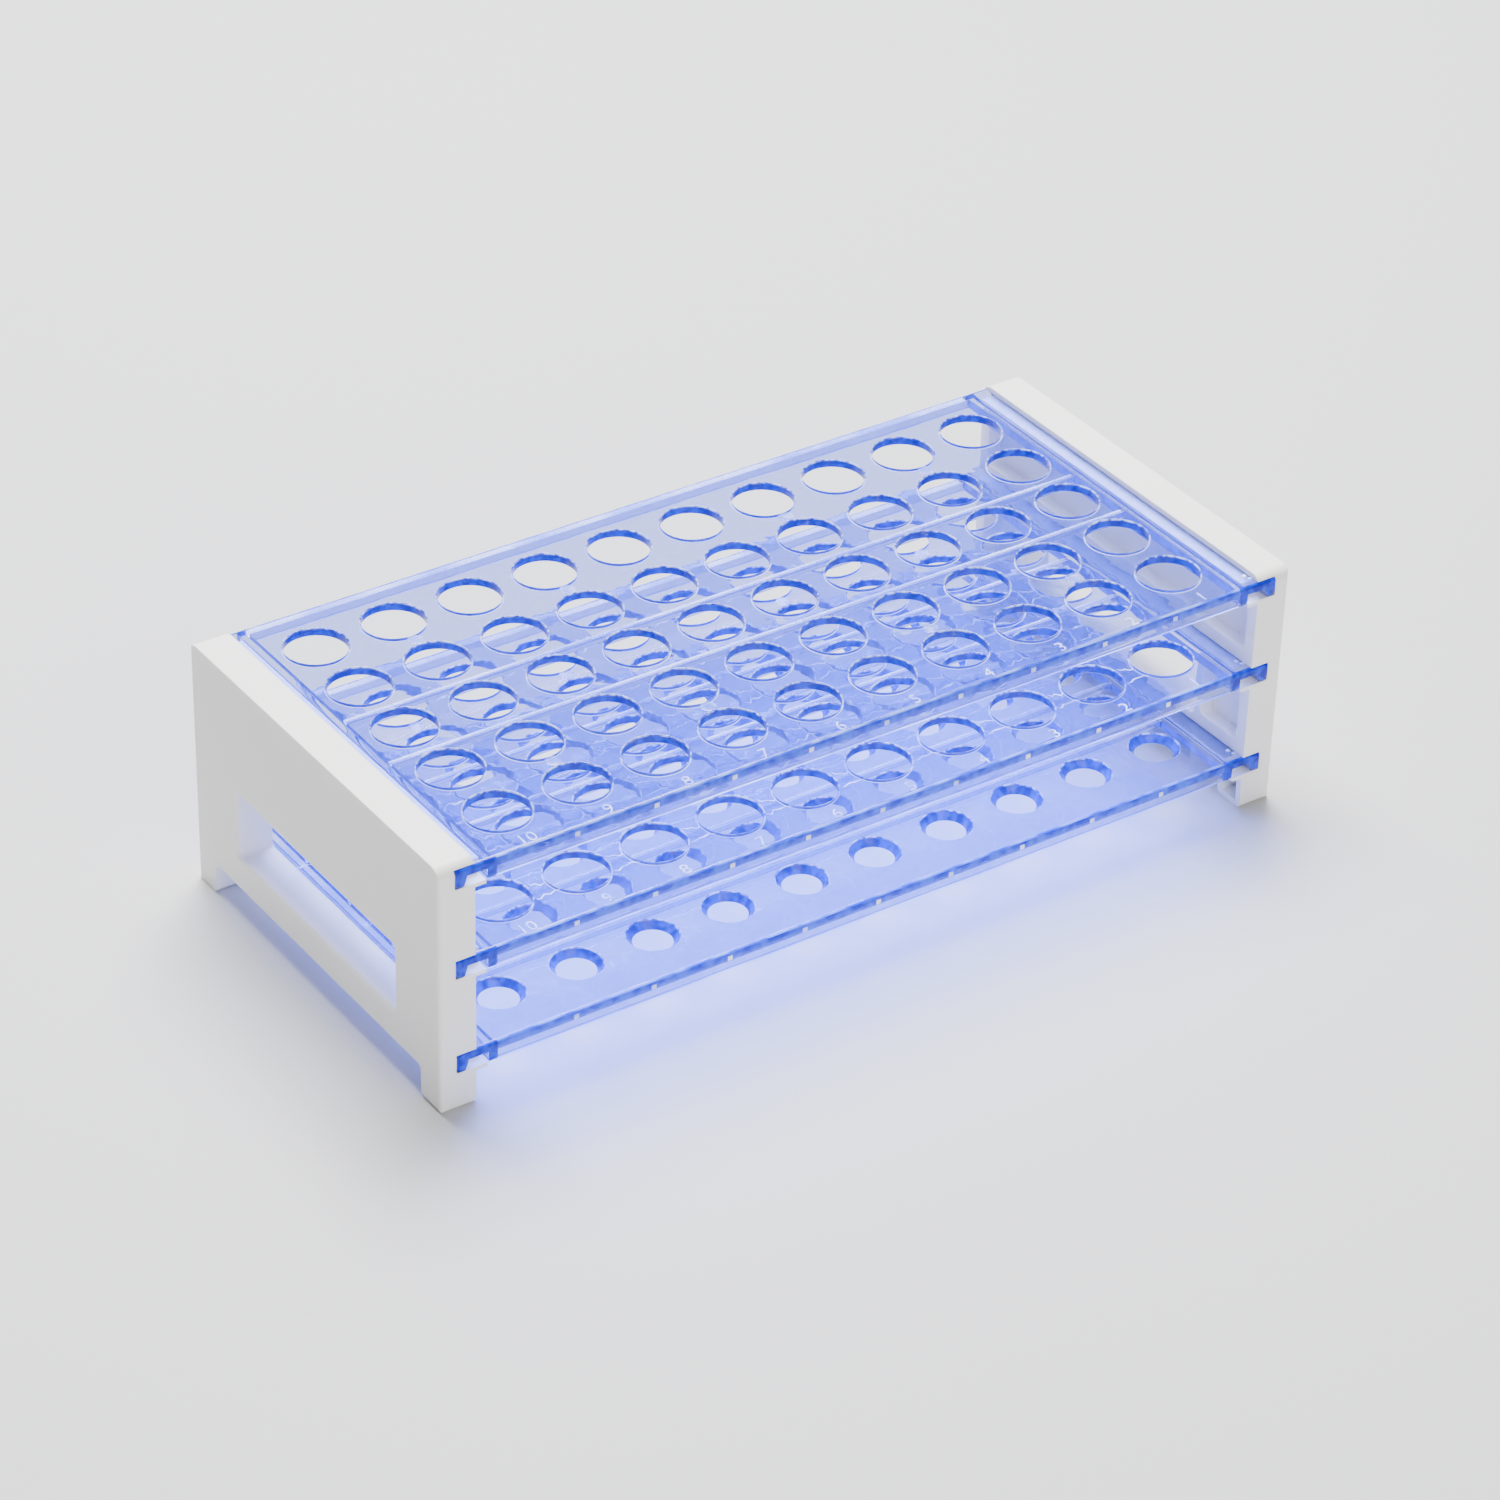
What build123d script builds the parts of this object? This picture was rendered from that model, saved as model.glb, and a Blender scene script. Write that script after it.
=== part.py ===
from build123d import *

import os

# Test tube rack for 50 tubes of 13 mm, in millimetres. X runs along the rack, Y from front to back, Z up.
# The origin is on the table, under the middle of the rack.

# Overall size
rack_length = 215.0
rack_width = 100.0
rack_height = 60.0

# Tube stations
column_pitch = 18.9
row_pitch = 18.0
tube_diameter = 13.0
tube_clearance = 1.0
hole_margin = 1.5
seat_rim_diameter = 11.2
seat_drain_diameter = 8.7

# Trays: the storey between the top and middle ones, moulded walls, and the hook and channel at each end
upper_storey = 21.8
tray_depth = 4.3
tray_edge_radius = 0.8
plate_thickness = 2.0
tongue_thickness = 1.9
skirt_thickness = 1.5
rib_thickness = 1.2
rib_depth = 3.6
hook_root_width = 2.8
hook_tip_width = 2.1
hook_tip_radius = 0.7
channel_width = 4.7
leg_thickness = 2.2

# End panels: the outer wall beside the hooks, the strip above the top tray and the sill under the bottom one
panel_thickness = 8.5
outer_wall = 3.8
top_strip = 1.4
sill_thickness = 1.2
panel_corner_radius = 2.8
panel_shoulder_radius = 3.2
panel_upright_radius = 1.1
foot_length = 7.7
foot_height = 7.8
foot_corner_radius = 1.5
foot_edge_radius = 1.2
foot_pocket_wall = 1.5
foot_pocket_depth = 5.0

# Handle window
window_width = 64.4
window_sill = 1.8
window_corner_radius = 1.2
window_edge_radius = 1.0
window_wall = 1.8

# Pockets in the inner side of a panel, and the shelf and roof that carry the slots below and above them
pocket_depth = 3.5
pocket_band = 3.0
pocket_corner_radius = 1.6
shelf_height = 3.2
roof_thickness = 0.9

# Ledges: each roof reaches inwards past the panel, and the land that a tongue rests on stands on it, short at both ends
ledge_reach = 2.6
land_end_gap = 3.0

# Clearance between a tray and its slot, all round the hook and above the tongue
slot_clearance = 0.1

# Places worked out from the sizes above: across the ends
half_length = rack_length / 2
half_width = rack_width / 2
inner_face = half_length - panel_thickness
slot_end = half_length - outer_wall
hook_end = slot_end - slot_clearance
hook_root = hook_end - hook_root_width
groove_start = hook_root - slot_clearance
leg_outer = hook_root - channel_width
leg_inner = leg_outer - leg_thickness
skirt_inner = half_width - skirt_thickness
skirt_centre = half_width - skirt_thickness / 2

# Up the panels
groove_depth = tray_depth + slot_clearance
top_level = rack_height - top_strip
middle_level = top_level - upper_storey
bottom_level = foot_height + sill_thickness + groove_depth
window_floor = bottom_level + window_sill
window_ceiling = middle_level - groove_depth - roof_thickness

# Over the trays: as many columns and rows of holes as fit between the legs and the skirts
hole_diameter = tube_diameter + tube_clearance
columns = int((2 * leg_inner - hole_diameter - 2 * hole_margin) // column_pitch) + 1
rows = int((2 * skirt_inner - hole_diameter - 2 * hole_margin) // row_pitch) + 1


def tray_body(level, rib_count):
    """A tray before its holes: an end-to-end profile with legs and hooks, skirts front and back, and ribs."""
    with BuildPart() as body:
        with BuildSketch(Plane.XZ) as profile:
            with BuildLine():
                Polyline(
                    (0, level),
                    (hook_end, level),
                    (hook_end, level - tray_depth),
                    (hook_end - hook_tip_width, level - tray_depth),
                    (hook_root, level - tongue_thickness),
                    (leg_outer, level - tongue_thickness),
                    (leg_outer, level - tray_depth),
                    (leg_inner, level - tray_depth),
                    (leg_inner, level - plate_thickness),
                    (0, level - plate_thickness),
                    close=True,
                )
            make_face()
            hook_tip = profile.vertices().group_by(Axis.Y)[0].sort_by(Axis.X)[-1]
            fillet(hook_tip, radius=hook_tip_radius)
            mirror(about=Plane.YZ)
        extrude(amount=half_width, both=True)
        with BuildSketch(Plane.XY.offset(level)):
            with Locations((0, -skirt_centre), (0, skirt_centre)):
                Rectangle(2 * leg_outer, skirt_thickness)
        extrude(amount=-tray_depth)
        with BuildSketch(Plane.XY.offset(level)):
            with GridLocations(0, row_pitch, 1, rib_count):
                Rectangle(2 * leg_outer, rib_thickness)
        extrude(amount=-rib_depth)
        long_edges = body.faces().sort_by(Axis.Z)[-1].edges().filter_by(Axis.X).sort_by(Axis.Y)
        fillet([long_edges[0], long_edges[-1]], radius=tray_edge_radius)
    return body.part


def tube_tray(level):
    """An upper tray: round holes that guide the tubes, and ribs beside the middle rows only."""
    with BuildPart() as tray:
        add(tray_body(level, rows - 3))
        with BuildSketch(Plane.XY.offset(level)):
            with GridLocations(column_pitch, row_pitch, columns, rows):
                Circle(hole_diameter / 2)
        extrude(amount=-plate_thickness, mode=Mode.SUBTRACT)
    return tray.part


def seat_tray(level):
    """The bottom tray: conical seats, open below, for the tubes' round ends, and a rib between all rows."""
    with BuildPart() as tray:
        add(tray_body(level, rows - 1))
        with Locations((0, 0, level)):
            with GridLocations(column_pitch, row_pitch, columns, rows):
                Cone(
                    bottom_radius=seat_drain_diameter / 2,
                    top_radius=seat_rim_diameter / 2,
                    height=plate_thickness,
                    align=(Align.CENTER, Align.CENTER, Align.MAX),
                    mode=Mode.SUBTRACT,
                )
    return tray.part


# Right end panel: what is common to its outline with two feet, its section across the ends and its plan
with BuildPart() as end_panel_right:
    with BuildSketch(Plane.YZ.offset(inner_face)) as outline:
        with BuildLine():
            Polyline(
                (-half_width, 0),
                (-half_width, rack_height),
                (half_width, rack_height),
                (half_width, 0),
                (half_width - foot_length, 0),
                (half_width - foot_length, foot_height),
                (-half_width + foot_length, foot_height),
                (-half_width + foot_length, 0),
                close=True,
            )
        make_face()
        fillet(outline.vertices().group_by(Axis.Y)[-1], radius=panel_corner_radius)
        fillet(outline.vertices().group_by(Axis.Y)[1], radius=foot_corner_radius)
        fillet(outline.vertices().group_by(Axis.Y)[0], radius=foot_edge_radius)
    extrude(amount=panel_thickness)
    with BuildSketch(Plane.XZ) as section:
        with Locations((inner_face, 0)):
            Rectangle(panel_thickness, rack_height, align=Align.MIN)
        outer_corners = section.vertices().group_by(Axis.X)[-1].sort_by(Axis.Y)
        fillet(outer_corners[0], radius=foot_edge_radius)
        fillet(outer_corners[-1], radius=panel_shoulder_radius)
    extrude(amount=half_width, both=True, mode=Mode.INTERSECT)
    with BuildSketch(Plane.XY) as plan:
        with Locations((inner_face, 0)):
            Rectangle(panel_thickness, rack_width, align=(Align.MIN, Align.CENTER))
        fillet(plan.vertices().group_by(Axis.X)[-1], radius=panel_upright_radius)
    extrude(amount=rack_height, mode=Mode.INTERSECT)

    # Handle window, with its outer edge rounded for the fingers
    with BuildSketch(Plane.YZ.offset(inner_face)):
        with Locations((0, (window_floor + window_ceiling) / 2)):
            RectangleRounded(window_width, window_ceiling - window_floor, window_corner_radius)
    extrude(amount=panel_thickness, mode=Mode.SUBTRACT)
    window_edges = end_panel_right.faces().sort_by(Axis.X)[-1].inner_wires()[0].edges()
    fillet(window_edges, radius=window_edge_radius)

    # Pockets open to the inside of the rack: one along the upper storey, one on each side of the window below
    upper_floor = middle_level + shelf_height
    upper_roof = top_level - groove_depth - roof_thickness
    lower_floor = bottom_level + shelf_height
    lower_roof = middle_level - groove_depth - roof_thickness
    pocket_end = half_width - pocket_band
    pocket_start = window_width / 2 + window_wall
    pocket_centre = (pocket_end + pocket_start) / 2
    with BuildSketch(Plane.YZ.offset(inner_face)):
        with Locations((0, (upper_floor + upper_roof) / 2)):
            RectangleRounded(2 * pocket_end, upper_roof - upper_floor, pocket_corner_radius)
        lower_height = (lower_floor + lower_roof) / 2
        with Locations((-pocket_centre, lower_height), (pocket_centre, lower_height)):
            RectangleRounded(pocket_end - pocket_start, lower_roof - lower_floor, pocket_corner_radius)
    extrude(amount=pocket_depth, mode=Mode.SUBTRACT)

    # Cored feet
    foot_centre = half_width - foot_length / 2
    with BuildSketch(Plane.YZ.offset(inner_face)):
        with Locations((-foot_centre, foot_height / 2), (foot_centre, foot_height / 2)):
            Rectangle(foot_length - 2 * foot_pocket_wall, foot_height - 2 * foot_pocket_wall)
    extrude(amount=foot_pocket_depth, mode=Mode.SUBTRACT)

    # At each level a slot for the tongue and the hook, open front and back, with its ledge and its land
    for level in (bottom_level, middle_level, top_level):
        slot_floor = level - groove_depth
        with BuildSketch(Plane.XZ):
            with Locations((inner_face, slot_floor)):
                Rectangle(slot_end - inner_face, groove_depth + slot_clearance, align=Align.MIN)
        extrude(amount=half_width, both=True, mode=Mode.SUBTRACT)
        with BuildSketch(Plane.XZ):
            with Locations((inner_face - ledge_reach, slot_floor)):
                Rectangle(ledge_reach, roof_thickness, align=(Align.MIN, Align.MAX))
        extrude(amount=half_width, both=True)
        with BuildSketch(Plane.XZ):
            with Locations((inner_face - ledge_reach, slot_floor)):
                Rectangle(groove_start - inner_face + ledge_reach, groove_depth - tongue_thickness, align=Align.MIN)
        extrude(amount=half_width - land_end_gap, both=True)

# Left end panel: the same moulding, turned half a turn
with BuildPart() as end_panel_left:
    add(end_panel_right.part, rotation=(0, 0, 180))

with BuildPart() as tray_top:
    add(tube_tray(top_level))

with BuildPart() as tray_middle:
    add(tube_tray(middle_level))

with BuildPart() as tray_bottom:
    add(seat_tray(bottom_level))

os.makedirs("parts", exist_ok=True)

end_panel_left.part.label = "end_panel_left"
export_step(end_panel_left.part, "parts/end_panel_left.step")
end_panel_right.part.label = "end_panel_right"
export_step(end_panel_right.part, "parts/end_panel_right.step")
tray_top.part.label = "tray_top"
export_step(tray_top.part, "parts/tray_top.step")
tray_middle.part.label = "tray_middle"
export_step(tray_middle.part, "parts/tray_middle.step")
tray_bottom.part.label = "tray_bottom"
export_step(tray_bottom.part, "parts/tray_bottom.step")
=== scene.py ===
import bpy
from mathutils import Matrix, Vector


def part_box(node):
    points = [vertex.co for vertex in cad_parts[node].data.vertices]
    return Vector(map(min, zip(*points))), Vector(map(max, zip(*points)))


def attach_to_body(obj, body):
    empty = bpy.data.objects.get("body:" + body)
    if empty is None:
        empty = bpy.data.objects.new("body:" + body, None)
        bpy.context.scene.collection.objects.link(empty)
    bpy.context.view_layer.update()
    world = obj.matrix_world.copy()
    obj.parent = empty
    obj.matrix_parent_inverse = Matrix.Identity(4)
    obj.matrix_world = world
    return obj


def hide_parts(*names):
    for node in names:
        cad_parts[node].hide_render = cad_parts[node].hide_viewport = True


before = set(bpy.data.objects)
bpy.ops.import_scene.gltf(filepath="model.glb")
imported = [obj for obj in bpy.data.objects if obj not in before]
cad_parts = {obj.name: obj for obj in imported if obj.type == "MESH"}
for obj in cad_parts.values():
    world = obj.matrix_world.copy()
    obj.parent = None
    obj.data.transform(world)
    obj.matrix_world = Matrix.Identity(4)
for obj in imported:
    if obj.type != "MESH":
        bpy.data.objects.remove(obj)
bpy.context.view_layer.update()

import math

import bmesh
import bpy
import numpy as np
from mathutils import Euler

# Studio
# The rack stands on a plain pale table. A broad soft light hangs over its back edge, a weak one stands in front and
# a third behind the right end, and the room fills in the rest, so that tops are brightest and sides darker.

MM = 0.001


def srgb(hex_code):
    """A colour written as sRGB hex, turned to linear red, green, blue and alpha."""
    parts = [int(hex_code[i : i + 2], 16) / 255 for i in (1, 3, 5)]
    return [p / 12.92 if p <= 0.04045 else ((p + 0.055) / 1.055) ** 2.4 for p in parts] + [1.0]


def add_node(tree, kind, settings=None, **inputs):
    """Adds a node. settings are its properties; inputs are socket names, or _index, with a value or a socket."""
    node = tree.nodes.new(kind)
    for name, value in (settings or {}).items():
        setattr(node, name, value)
    for name, value in inputs.items():
        socket = node.inputs[int(name[1:])] if name[0] == "_" else node.inputs[name.replace("_", " ")]
        if isinstance(value, bpy.types.NodeSocket):
            tree.links.new(value, socket)
        else:
            socket.default_value = value
    return node


def new_material(name):
    """An empty node material and its output node."""
    material = bpy.data.materials.new(name)
    material.use_nodes = True
    material.node_tree.nodes.clear()
    return material, material.node_tree, material.node_tree.nodes.new("ShaderNodeOutputMaterial")


camera_data = bpy.data.cameras.new("camera")
camera_data.lens = 122.43
camera_data.sensor_width = 36.0
camera_data.clip_end = 20.0
camera = bpy.data.objects.new("camera", camera_data)
camera.location = (-0.52805, -0.75293, 0.63385)
camera.rotation_euler = Euler([math.radians(a) for a in (56.3779, -1.3471, -34.2211)])
bpy.context.scene.collection.objects.link(camera)
bpy.context.scene.camera = camera


def table_top(half_side, drop):
    """A flat square in Z = -drop, as a 2 by 2 grid of corners."""
    side = np.array([-half_side, half_side])
    x, y = np.meshgrid(side, side, indexing="ij")
    points = np.stack([x, y, np.full_like(x, -drop)], -1).reshape(-1, 3)
    mesh = bpy.data.meshes.new("table")
    mesh.from_pydata(points.tolist(), [], [(0, 2, 3, 1)])
    return mesh


# Satin lacquered board: pale grey with a faint unevenness
table_material, tree, output = new_material("lacquered_board")
place = add_node(tree, "ShaderNodeTexCoord")
cloud = add_node(tree, "ShaderNodeTexNoise", Vector=place.outputs["Object"], Scale=3.0, Detail=2.0)
tone = add_node(
    tree,
    "ShaderNodeMix",
    {"data_type": "RGBA"},
    _0=cloud.outputs["Fac"],
    _6=srgb("#C6C7CA"),
    _7=srgb("#CACBCD"),
)
board = add_node(tree, "ShaderNodeBsdfPrincipled", Base_Color=tone.outputs[2], Roughness=0.65)
tree.links.new(board.outputs[0], output.inputs["Surface"])
table = bpy.data.objects.new("table", table_top(3.0, 0.00005))
table.data.materials.append(table_material)
bpy.context.scene.collection.objects.link(table)

world = bpy.data.worlds.new("room")
world.use_nodes = True
room = world.node_tree.nodes["Background"]
room.inputs["Color"].default_value = srgb("#F2F4F8")
room.inputs["Strength"].default_value = 0.17
bpy.context.scene.world = world


def soft_box(name, place, aim, width, height, watts, colour):
    """A rectangular area light at a place, turned to face a point."""
    data = bpy.data.lights.new(name, "AREA")
    data.shape = "RECTANGLE"
    data.size, data.size_y = width, height
    data.energy = watts
    data.color = srgb(colour)[:3]
    light = bpy.data.objects.new(name, data)
    light.location = place
    way = np.array(aim) - np.array(place)
    flat = math.hypot(way[0], way[1])
    light.rotation_euler = (math.atan2(flat, -way[2]), 0.0, math.atan2(-way[0], way[1]))
    bpy.context.scene.collection.objects.link(light)


soft_box("overhead_light", (0.15, 0.5, 1.2), (0, 0, 0.03), 0.9, 0.6, 62.0, "#FFFFFF")
soft_box("front_light", (-0.2, -1.15, 0.5), (-0.05, 0, 0.03), 0.9, 0.9, 13.0, "#FFFCF8")
soft_box("back_light", (0.5, 0.8, 1.15), (0, 0, 0.03), 0.7, 0.3, 12.0, "#FFFFFF")

# End panels
# Two white injection-moulded polypropylene panels, the same moulding turned half a turn. They have a handle
# window, feet, cored pockets inside and open slots that the trays snap into.


def merged_copy(node, name):
    """A copy of a node's triangles with shared corners and flat areas joined up, shaded smooth."""
    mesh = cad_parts[node].data.copy()
    work = bmesh.new()
    work.from_mesh(mesh)
    bmesh.ops.remove_doubles(work, verts=work.verts, dist=0.002 * MM)
    bmesh.ops.dissolve_limit(work, angle_limit=math.radians(0.6), verts=work.verts, edges=work.edges)
    work.to_mesh(mesh)
    work.free()
    mesh.materials.clear()
    mesh.shade_smooth()
    piece = bpy.data.objects.new(name, mesh)
    bpy.context.scene.collection.objects.link(piece)
    return piece


def ease_edges(piece, width, angle, segments=2):
    """Rounds the edges sharper than an angle, then evens the shading of the flats beside them."""
    bevel = piece.modifiers.new("eased_edges", "BEVEL")
    bevel.width = width
    bevel.segments = segments
    bevel.limit_method = "ANGLE"
    bevel.angle_limit = math.radians(angle)
    bevel.use_clamp_overlap = True
    bevel.harden_normals = False
    shade = piece.modifiers.new("even_shading", "WEIGHTED_NORMAL")
    shade.keep_sharp = True
    shade.weight = 80


# White polypropylene from a fine-grained mould: satin, slightly see-through, a little uneven in tone
panel_material, tree, output = new_material("moulded_white_polypropylene")
place = add_node(tree, "ShaderNodeTexCoord")
cloud = add_node(tree, "ShaderNodeTexNoise", Vector=place.outputs["Object"], Scale=45.0, Detail=3.0)
tone = add_node(
    tree,
    "ShaderNodeMix",
    {"data_type": "RGBA"},
    _0=cloud.outputs["Fac"],
    _6=srgb("#EDECE9"),
    _7=srgb("#F4F3F1"),
)
grain = add_node(tree, "ShaderNodeTexNoise", Vector=place.outputs["Object"], Scale=2600.0, Detail=2.0)
bump = add_node(tree, "ShaderNodeBump", Strength=0.12, Distance=0.00005, Height=grain.outputs["Fac"])
gloss = add_node(tree, "ShaderNodeMapRange", Value=cloud.outputs["Fac"], To_Min=0.40, To_Max=0.50)
polypropylene = add_node(
    tree,
    "ShaderNodeBsdfPrincipled",
    Base_Color=tone.outputs[2],
    Roughness=gloss.outputs["Result"],
    IOR=1.49,
    Subsurface_Weight=0.25,
    Subsurface_Radius=(1.0, 0.95, 0.9),
    Subsurface_Scale=0.002,
    Normal=bump.outputs["Normal"],
)
tree.links.new(polypropylene.outputs[0], output.inputs["Surface"])

for side in ("left", "right"):
    panel = merged_copy(f"end_panel_{side}", f"panel_{side}")
    panel.data.materials.append(panel_material)
    ease_edges(panel, 0.3 * MM, 35)
    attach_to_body(panel, "root")
    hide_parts(f"end_panel_{side}")

# Trays
# Three clear blue injection-moulded polystyrene trays, highly polished. Each is a flat plate with a deeper skirt
# at front and back, a leg and a hooked tongue at each end, and ribs underneath between the rows.

column_pitch, row_pitch = 18.9 * MM, 18.0 * MM
columns, rows = 10, 5
plate, tongue, rib_depth = 2.0 * MM, 1.9 * MM, 3.6 * MM
skirt_wall, rib_wall = 1.5 * MM, 1.2 * MM
hook_root, hook_tip = 2.8 * MM, 2.1 * MM
channel, leg_wall = 4.7 * MM, 2.2 * MM
edge_round, rim_round, rim_margin, lower_round = 0.8 * MM, 0.3 * MM, 0.1 * MM, 0.25 * MM
cell_steps = 16

# What a face shows: clear flats, cut ends and long edges with a painted blue glow, the rounded top edge and the
# feet of the walls with a painted highlight, hole rims with painted glints, pads
CLEAR, EDGE_GLOW, LONG_EDGE_GLOW, TOP_EDGE_HIGHLIGHT, FOOT_HIGHLIGHT, RIM_GLINT, PAD = range(7)

column_at = (np.arange(columns) - (columns - 1) / 2) * column_pitch
row_at = (np.arange(rows) - (rows - 1) / 2) * row_pitch


def linked(mesh, name, *materials):
    """An object for a mesh, in the scene, with its materials and smooth shading up to 32 degrees."""
    mesh.shade_smooth()
    mesh.set_sharp_from_angle(angle=math.radians(32))
    for material in materials:
        mesh.materials.append(material)
    piece = bpy.data.objects.new(name, mesh)
    bpy.context.scene.collection.objects.link(piece)
    return piece


def joined(points, faces):
    """One list of corners without doubles, and the faces that use it."""
    keys = np.round(points / 1e-8).astype(np.int64)
    _, first, back = np.unique(keys, axis=0, return_index=True, return_inverse=True)
    return points[first], back.reshape(-1)[faces]


def ring_faces(start, rings, around):
    """Quads between neighbouring closed rings of corners numbered ring by ring from start."""
    ring = start[..., None, None] + np.arange(rings - 1)[:, None] * around
    at = np.arange(around)
    after = (at + 1) % around
    quads = [ring + at, ring + after, ring + around + after, ring + around + at]
    return np.stack(quads, -1).reshape(-1, 4)


def tray_mesh(name, node, rib_rows, hole_profile):
    """A tray as a block model with a round patch for each hole.

    Grid lines cross in plan where a wall begins or ends. Layers of the grid are filled where the tray is at
    least that deep, and every face between a filled and an empty cell becomes a quad. The square around each hole
    is left out and filled by rings that go from the square to the circle, down the hole's profile and out again.
    """
    low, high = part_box(node)
    level, depth = high.z, high.z - low.z
    end, side = high.x, high.y
    root = end - hook_root
    leg_out = root - channel
    leg_in = leg_out - leg_wall
    inside = side - skirt_wall
    cell_y = (row_pitch - rib_wall) / 2

    between_columns = (column_at[1:] + column_at[:-1]) / 2
    bounds_x = np.concatenate([[-leg_in], between_columns, [leg_in]])
    cells_x = [np.linspace(a, b, cell_steps + 1) for a, b in zip(bounds_x[:-1], bounds_x[1:])]
    cells_y = [np.linspace(y - cell_y, y + cell_y, cell_steps + 1) for y in row_at]
    turn = np.radians([0, 22.5, 45, 67.5, 90])
    rim_y = side - edge_round + edge_round * np.sin(turn)
    x_lines = np.concatenate(cells_x + [np.array([leg_out, root, end]) * s for s in (-1, 1)])
    y_lines = np.concatenate(cells_y + [np.concatenate([[inside], rim_y]) * s for s in (-1, 1)])
    x_lines = np.unique(np.round(x_lines, 9))
    y_lines = np.unique(np.round(y_lines, 9))
    levels = np.array([0.0, tongue, plate, rib_depth, depth])

    x, y = np.meshgrid(x_lines, y_lines, indexing="ij")
    over = np.clip(np.abs(y) - (side - edge_round), 0, edge_round)
    top = level - (edge_round - np.sqrt(edge_round**2 - over**2))
    z = np.stack([top] + [np.full_like(x, level - d) for d in levels[1:]])
    taper = (hook_root - hook_tip) * np.clip((levels - tongue) / (depth - tongue), 0, 1)
    on_root = np.isclose(np.abs(x), root, atol=1e-7)
    x = np.stack([x + np.sign(x) * on_root * shift for shift in taper])
    y = np.broadcast_to(y, x.shape)
    points = np.stack([x, y, z], -1).reshape(-1, 3)

    mid_x = (x_lines[1:] + x_lines[:-1]) / 2
    mid_y = (y_lines[1:] + y_lines[:-1]) / 2
    cx, cy = np.meshgrid(np.abs(mid_x), mid_y, indexing="ij")
    on_rib = np.any(np.abs(cy[..., None] - rib_rows * row_pitch) < rib_wall / 2, -1)
    deep = np.where(cx < leg_in, plate, depth)
    deep = np.where((cx < leg_in) & on_rib, rib_depth, deep)
    deep = np.where((cx < leg_out) & (np.abs(cy) > inside), depth, deep)
    deep = np.where((cx > leg_out) & (cx < root), tongue, deep)
    from_row = np.abs(cy[..., None] - row_at).min(-1)
    hole = (cx < leg_in) & (from_row < cell_y)
    filled = np.stack([deep > d + 1e-7 for d in levels[:-1]])

    nx, ny = len(x_lines), len(y_lines)
    number = np.arange(points.shape[0]).reshape(len(levels), nx, ny)
    faces, looks = [], []

    def quads(where, a, b, c, d, look=CLEAR):
        """Faces for the cells where a condition holds, from the numbers of their corners, and their look."""
        faces.append(np.stack([a[where], b[where], c[where], d[where]], -1))
        looks.append(np.broadcast_to(look, where.shape)[where])

    n = number[0]
    cell = column_pitch / cell_steps
    pad_column = np.abs(cx[..., None] - column_at[[6, 8]]).min(-1) < 0.7 * cell
    # The upper strips of the rounded top edge get a painted highlight, its lower strips the painted long-edge glow
    # and its ends the painted glow of cut ends.
    rounded = np.select(
        [np.abs(cy) < rim_y[0], cx > leg_in, np.abs(cy) > rim_y[2], (cy > 0) & pad_column],
        [CLEAR, EDGE_GLOW, LONG_EDGE_GLOW, PAD],
        TOP_EDGE_HIGHLIGHT,
    )
    quads(~hole, n[:-1, :-1], n[1:, :-1], n[1:, 1:], n[:-1, 1:], rounded)
    empty = np.zeros_like(filled[:1])
    below = np.concatenate([filled[1:], empty])
    # The inner faces of the legs get the painted blue glow of the long edges.
    wall = np.where(np.isclose(np.abs(x_lines), leg_in, atol=1e-6), LONG_EDGE_GLOW, CLEAR)[:, None]
    # Small white spots near the midpoints between columns, on the top layer of the front and back faces: painted
    # highlight in the white of the wall feet.
    between_column_spot = np.abs(mid_x[:, None] - between_columns - cell / 2).min(1) < 0.1 * MM
    for k in range(len(levels) - 1):
        n, above = number[k + 1], number[k]
        # The bottoms of the skirts, ribs and legs get a painted white highlight.
        foot_highlight = np.where((cx < leg_in) & (levels[k + 1] > plate), FOOT_HIGHLIGHT, CLEAR)
        quads(filled[k] & ~below[k] & ~hole, n[:-1, :-1], n[:-1, 1:], n[1:, 1:], n[1:, :-1], foot_highlight)
        here = np.pad(filled[k], ((1, 1), (0, 0)))
        right, left = here[:-1] & ~here[1:], here[1:] & ~here[:-1]
        quads(right, above[:, :-1], n[:, :-1], n[:, 1:], above[:, 1:], wall)
        quads(left, above[:, 1:], n[:, 1:], n[:, :-1], above[:, :-1], wall)
        here = np.pad(filled[k], ((0, 0), (1, 1)))
        back, front = here[:, :-1] & ~here[:, 1:], here[:, 1:] & ~here[:, :-1]
        # Front and back faces get the painted blue glow down to the plate; the cut ends get it all the way down.
        band = np.where(np.abs(mid_x) > leg_in, EDGE_GLOW, LONG_EDGE_GLOW if levels[k] < plate else CLEAR)
        band = np.where(between_column_spot & (k == 0), FOOT_HIGHLIGHT, band)[:, None]
        quads(back, above[1:], n[1:], n[:-1], above[:-1], band)
        quads(front, above[:-1], n[:-1], n[1:], above[1:], band)

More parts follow.
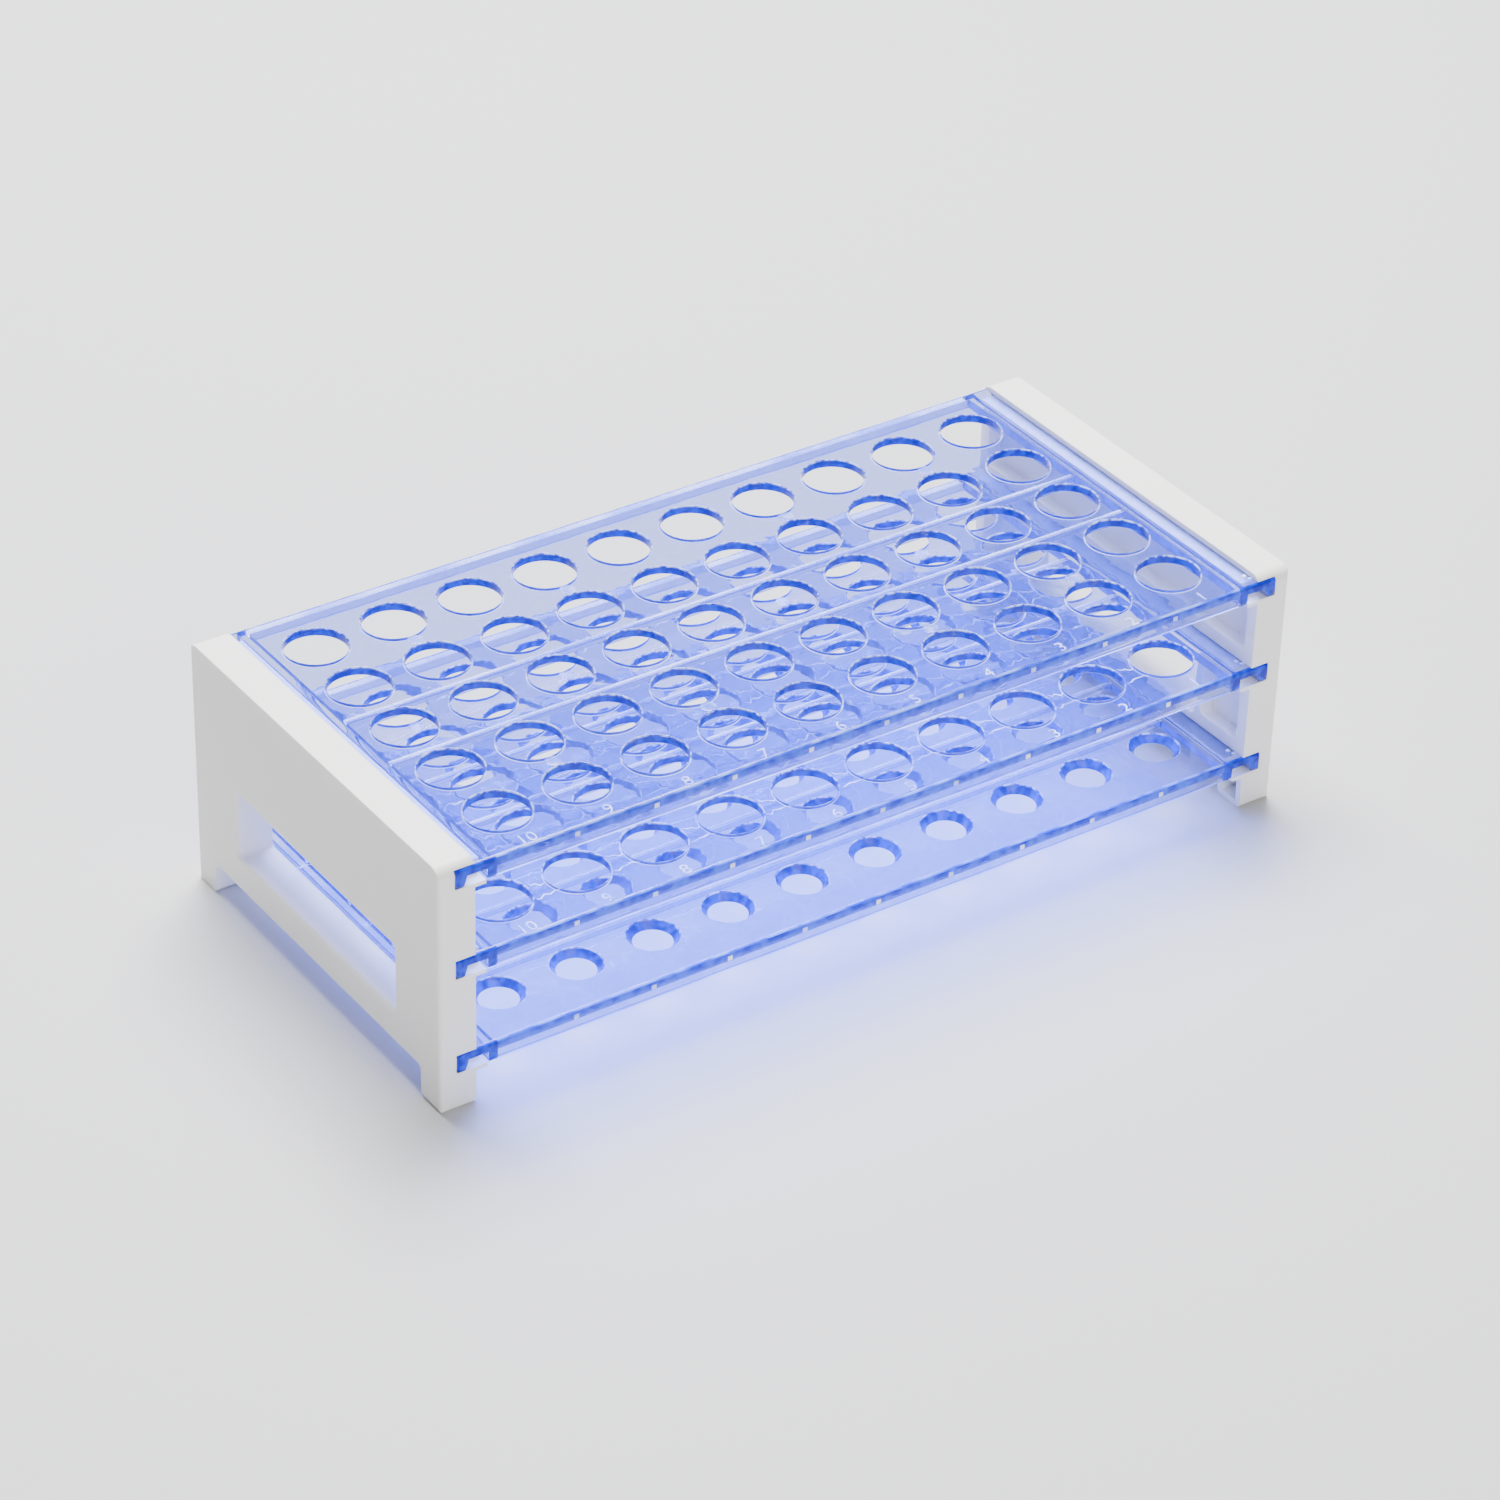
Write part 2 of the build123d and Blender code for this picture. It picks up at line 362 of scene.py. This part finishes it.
    along = np.linspace(0, 1, cell_steps, endpoint=False)
    zero, one = np.zeros(cell_steps), np.ones(cell_steps)
    square_u = np.concatenate([along, one, 1 - along, zero])[:, None, None]
    square_v = np.concatenate([zero, along, one, 1 - along])[:, None, None]
    angle = np.radians(-135) + np.arange(4 * cell_steps) * 2 * np.pi / (4 * cell_steps)
    edge_x = bounds_x[:-1, None] + square_u * np.diff(bounds_x)[:, None] + 0 * row_at
    edge_y = row_at - cell_y + square_v * 2 * cell_y + 0 * bounds_x[:-1, None]
    rings = [np.stack([edge_x, edge_y, np.full_like(edge_x, level)], -1)]
    for radius, down in hole_profile:
        round_x = column_at[:, None] + radius * np.cos(angle)[:, None, None] + 0 * row_at
        round_y = row_at + radius * np.sin(angle)[:, None, None] + 0 * column_at[:, None]
        rings.append(np.stack([round_x, round_y, np.full_like(round_x, level - down)], -1))
    rings.append(np.stack([edge_x, edge_y, np.full_like(edge_x, level - plate)], -1))
    rings = np.stack(rings).transpose(2, 3, 0, 1, 4).reshape(columns * rows, len(rings), 4 * cell_steps, 3)
    start = len(points) + np.arange(columns * rows) * rings.shape[1] * rings.shape[2]
    faces.append(ring_faces(start, rings.shape[1], rings.shape[2]))
    ring_looks = np.full((columns * rows, rings.shape[1] - 1, rings.shape[2]), CLEAR)
    # Hole walls get the painted blue glow, the upper rim painted white glints and the lower rim a painted white
    # highlight.
    ring_looks[:, 2:-2] = EDGE_GLOW
    ring_looks[:, 2:5] = RIM_GLINT
    ring_looks[:, 7:9] = FOOT_HIGHLIGHT
    looks.append(ring_looks.ravel())

    points, faces = joined(np.concatenate([points, rings.reshape(-1, 3)]), np.concatenate(faces))
    mesh = bpy.data.meshes.new(name)
    mesh.from_pydata(points.tolist(), [], faces.tolist())
    mesh.polygons.foreach_set("material_index", np.concatenate(looks).astype(np.int32))
    work = bmesh.new()
    work.from_mesh(mesh)
    bmesh.ops.delete(work, geom=[v for v in work.verts if not v.link_faces], context="VERTS")
    lower = [
        e
        for e in work.edges
        if max(v.co.z for v in e.verts) < level - plate - 0.1 * MM and e.calc_face_angle_signed(0) > 1
    ]
    bmesh.ops.bevel(
        work, geom=lower, offset=lower_round, segments=2, profile=0.5, affect="EDGES", clamp_overlap=False
    )
    work.to_mesh(mesh)
    work.free()
    return mesh


def hole_profile(top_radius, bottom_radius):
    """Radius and depth down a hole: flat margin, rounded rim, straight or conical wall, and the same below."""
    turn = np.radians([0, 30, 60, 90])
    out = np.concatenate([[rim_round + rim_margin], rim_round * (1 - np.sin(turn))])
    down = np.concatenate([[0], rim_round * (1 - np.cos(turn))])
    upper = list(zip(top_radius + out, down))
    lower = list(zip(bottom_radius + out[::-1], plate - down[::-1]))
    return upper + lower


def polystyrene(name, shade, share_low, share_high, bump_scale=120.0, streak_scale=420.0):
    """Clear blue polystyrene from a polished mould, which also scatters a share of the light in another shade.

    Where the share is high the other shade is painted light: a painted blue glow at cut ends, long edges and hole
    walls, standing in for light caught inside the plastic, and painted highlights and glints at the rounded top
    edges, the feet of the walls, the hole rims and the raised marks. The shade and its share vary in streaks,
    streak_scale to the metre. Shadows pass with a blue tint.
    """
    material, tree, output = new_material(name)
    place = add_node(tree, "ShaderNodeTexCoord")
    wave = add_node(tree, "ShaderNodeTexNoise", Vector=place.outputs["Object"], Scale=bump_scale, Detail=2.0)
    bump = add_node(tree, "ShaderNodeBump", Strength=0.25, Distance=0.0003, Height=wave.outputs["Fac"])
    tint = add_node(
        tree,
        "ShaderNodeMix",
        {"data_type": "RGBA"},
        _0=wave.outputs["Fac"],
        _6=srgb("#C6D0F8"),
        _7=srgb("#D0D9FA"),
    )
    clear = add_node(
        tree,
        "ShaderNodeBsdfPrincipled",
        Base_Color=tint.outputs[2],
        Roughness=0.02,
        IOR=1.57,
        Transmission_Weight=1.0,
        Normal=bump.outputs["Normal"],
    )
    streak = add_node(tree, "ShaderNodeTexNoise", Vector=place.outputs["Object"], Scale=streak_scale, Detail=1.0)
    part = add_node(tree, "ShaderNodeMapRange", Value=streak.outputs["Fac"], From_Min=0.38, From_Max=0.62)
    low, high = (srgb(c) for c in shade)
    deep = add_node(tree, "ShaderNodeMix", {"data_type": "RGBA"}, _0=part.outputs["Result"], _6=low, _7=high)
    lit = add_node(
        tree,
        "ShaderNodeBsdfPrincipled",
        Base_Color=deep.outputs[2],
        Roughness=0.2,
        IOR=1.57,
        Specular_IOR_Level=0.15,
        Normal=bump.outputs["Normal"],
    )
    share = add_node(
        tree, "ShaderNodeMapRange", Value=part.outputs["Result"], To_Min=share_low, To_Max=share_high
    )
    body = add_node(
        tree, "ShaderNodeMixShader", _0=share.outputs["Result"], _1=clear.outputs[0], _2=lit.outputs[0]
    )
    lamp_through = add_node(tree, "ShaderNodeBsdfTransparent", Color=srgb("#D0D8FB"))
    ray = add_node(tree, "ShaderNodeLightPath")
    shadow = ray.outputs["Is Shadow Ray"]
    mix = add_node(tree, "ShaderNodeMixShader", _0=shadow, _1=body.outputs[0], _2=lamp_through.outputs[0])
    tree.links.new(mix.outputs[0], output.inputs["Surface"])
    return material


clear_material = polystyrene("clear_blue_polystyrene", ("#1B3BE6", "#3A5CF0"), 0.09, 0.15)
# Painted blue glow on cut ends and hole walls, standing in for light piped through the plastic.
edge_glow_material = polystyrene("polystyrene_edges_painted_glow", ("#0010B0", "#0C38E8"), 0.88, 0.98, 700.0)
# Painted blue glow on the long front, back and leg faces, in dashes along them.
long_edge_glow_material = polystyrene("polystyrene_long_edges_painted_glow", ("#0820D0", "#3C60FF"), 0.75, 0.95, 300.0, 260.0)
# Painted lavender highlight on the rounded top edges.
top_edge_highlight_material = polystyrene("polystyrene_top_edges_painted_highlight", ("#2048F0", "#7C98FF"), 0.75, 0.92, 120.0, 200.0)
# Painted white highlight on the feet of the walls and the lower hole rims.
foot_highlight_material = polystyrene("polystyrene_wall_feet_painted_highlight", ("#C8D4FF", "#FFFFFF"), 0.7, 0.95, 120.0, 60.0)
# Painted glints: blue and near-white speckles along the hole rims.
rim_glint_material = polystyrene("polystyrene_hole_rims_painted_glints", ("#0424D8", "#A8BCFF"), 0.8, 0.96, 700.0, 800.0)
pad_material = polystyrene("polystyrene_ejector_pads", ("#9FB2FF", "#DCE4FF"), 0.15, 0.3, 300.0)
tray_materials = (
    clear_material,
    edge_glow_material,
    long_edge_glow_material,
    top_edge_highlight_material,
    foot_highlight_material,
    rim_glint_material,
    pad_material,
)

guide_hole = hole_profile(7.0 * MM, 7.0 * MM)
seat_hole = hole_profile(5.6 * MM, 4.35 * MM)
middle_ribs = np.array([-0.5, 0.5])
all_ribs = np.array([-1.5, -0.5, 0.5, 1.5])
for node, ribs, profile in (
    ("tray_top", middle_ribs, guide_hole),
    ("tray_middle", middle_ribs, guide_hole),
    ("tray_bottom", all_ribs, seat_hole),
):
    mesh = tray_mesh(node, node, ribs, profile)
    tray = linked(mesh, f"clear_{node}", *tray_materials)
    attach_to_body(tray, "root")
    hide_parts(node)

# Raised marks on the trays
# All were moulded with the tray: the column numbers 10 to 1 in front of the first row of both upper trays, round
# ejector pads between the outer two rows at front and back, and two pips on the right tongue.

number_height, number_rise, number_line = 3.1 * MM, 0.15 * MM, -47.5 * MM
sink = 0.02 * MM
pad_radius, pad_rise, pad_flat = 1.75 * MM, 0.06 * MM, 0.85
pip_radius, pip_rise, pip_flat = 0.6 * MM, 0.35 * MM, 0.1
pip_places = [(98.0 * MM, -45.9 * MM), (98.4 * MM, -47.4 * MM)]
# The raised marks get a painted highlight: a whitish share standing in for glints on the clear plastic.
mark_highlight_material = polystyrene("polystyrene_raised_marks_painted_highlight", ("#B4C3FF", "#EEF2FF"), 0.55, 0.85)


def column_numbers(name, level):
    """The numbers 10 to 1, each centred on its column, 3.1 mm tall and 0.15 mm proud, as one mesh."""
    points, faces, count = [], [], 0
    for number, centre in zip(range(columns, 0, -1), column_at):
        curve = bpy.data.curves.new(f"number_{number}", "FONT")
        curve.body = str(number)
        curve.size, curve.offset, curve.resolution_u = 1.0, -0.02, 6
        curve.extrude, curve.bevel_depth = 0.02, 0.012
        text = bpy.data.objects.new(curve.name, curve)
        mesh = bpy.data.meshes.new_from_object(text)
        corners = np.empty(3 * len(mesh.vertices))
        mesh.vertices.foreach_get("co", corners)
        corners = corners.reshape(-1, 3)
        low, high = corners.min(0), corners.max(0)
        scale = number_height / (high[1] - low[1])
        flat = (corners[:, :2] - (low + high)[:2] / 2) * scale + [centre, number_line]
        rise = (corners[:, 2:] - low[2]) / (high[2] - low[2]) * (number_rise + sink) + level - sink
        points.append(np.concatenate([flat, rise], 1))
        faces += [[count + i for i in polygon.vertices] for polygon in mesh.polygons]
        count += len(corners)
        bpy.data.objects.remove(text)
        bpy.data.meshes.remove(mesh)
    mesh = bpy.data.meshes.new(name)
    mesh.from_pydata(np.concatenate(points).tolist(), [], faces)
    return mesh


def domes(name, centres, radius, height, flat_share):
    """Low round pads: outside a flat share f of the radius R, r(t) = R (f + (1 - f) cos t), z(t) = height sin t."""
    turn = np.radians([0, 0, 30, 60, 90])
    away = flat_share + (1 - flat_share) * np.cos(turn)
    rise = np.concatenate([[-sink], height * np.sin(turn[1:])])
    angle = np.arange(20) * 2 * np.pi / 20
    rings = np.stack(
        [
            radius * away[:, None] * np.cos(angle),
            radius * away[:, None] * np.sin(angle),
            rise[:, None] + 0 * angle,
        ],
        -1,
    )
    size = rings.shape[0] * rings.shape[1]
    points = (np.asarray(centres)[:, None, :] + rings.reshape(1, -1, 3)).reshape(-1, 3)
    start = np.arange(len(centres)) * size
    sides = ring_faces(start, rings.shape[0], rings.shape[1])
    lids = start[:, None] + size - rings.shape[1] + np.arange(rings.shape[1])
    floors = start[:, None] + np.arange(rings.shape[1])[::-1]
    mesh = bpy.data.meshes.new(name)
    mesh.from_pydata(points.tolist(), [], sides.tolist() + lids.tolist() + floors.tolist())
    return mesh


def attach(mesh, name, *materials):
    """A piece that was moulded with a tray."""
    piece = linked(mesh, name, *materials)
    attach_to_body(piece, "root")


for storey in ("top", "middle", "bottom"):
    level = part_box(f"tray_{storey}")[1].z
    if storey != "bottom":
        attach(column_numbers(f"numbers_{storey}", level), f"column_numbers_{storey}", mark_highlight_material)
        pads = [(x, y, level) for x in column_at[[1, 3, 6, 8]] for y in (-1.5 * row_pitch, 1.5 * row_pitch)]
        pad_mesh = domes(f"pads_{storey}", pads, pad_radius, pad_rise, pad_flat)
        attach(pad_mesh, f"ejector_pads_{storey}", pad_material)
    pips = [(x, y, level) for x, y in pip_places]
    pip_mesh = domes(f"pips_{storey}", pips, pip_radius, pip_rise, pip_flat)
    attach(pip_mesh, f"tongue_pips_{storey}", mark_highlight_material)

# Weld lines on the middle tray
# Where the melt met between two neighbouring holes of a row it left two fine raised lines, thin and crooked.

bead_width, bead_rise, bead_stray = 0.17 * MM, 0.07 * MM, 0.18 * MM


def weld_lines(name, level):
    """Flat beads along crooked paths, two in each gap of a row, each one a closed tube with narrow ends."""
    upper = np.array([(7.6, 1.4), (8.2, 0.4), (9.1, 0.6), (9.8, -0.2), (10.7, -0.3), (11.3, 0.7)])
    lower = np.array([(6.4, -4.1), (7.4, -4.3), (8.6, -3.6), (9.9, -3.9), (11.0, -3.6), (12.5, -4.1)])
    paths = np.stack([upper, lower]) * MM
    shift = np.random.RandomState(7).normal(0, bead_stray, (columns - 1, rows, 2, len(upper), 2))
    hubs = np.stack(np.meshgrid(column_at[:-1], row_at, indexing="ij"), -1)
    paths = (hubs[:, :, None, None] + paths + shift).reshape(-1, len(upper), 2)
    way = np.gradient(paths, axis=1)
    way /= np.linalg.norm(way, axis=-1, keepdims=True)
    across = np.stack([-way[..., 1], way[..., 0]], -1)
    width = bead_width * np.array([0.2, 0.9, 1, 1, 0.9, 0.2])[:, None]
    angle = np.arange(8) * 2 * np.pi / 8
    flat = paths[:, :, None] + across[:, :, None] * (width * np.cos(angle))[..., None]
    rise = np.broadcast_to(level + bead_rise * np.sin(angle), flat.shape[:-1])
    points = np.concatenate([flat, rise[..., None]], -1).reshape(-1, 3)
    size = len(upper) * len(angle)
    start = np.arange(len(paths)) * size
    sides = ring_faces(start, len(upper), len(angle))
    first = start[:, None] + np.arange(len(angle))[::-1]
    last = first[:, ::-1] + size - len(angle)
    mesh = bpy.data.meshes.new(name)
    mesh.from_pydata(points.tolist(), [], sides.tolist() + first.tolist() + last.tolist())
    return mesh


attach(weld_lines("weld_lines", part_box("tray_middle")[1].z), "weld_lines_middle", mark_highlight_material)
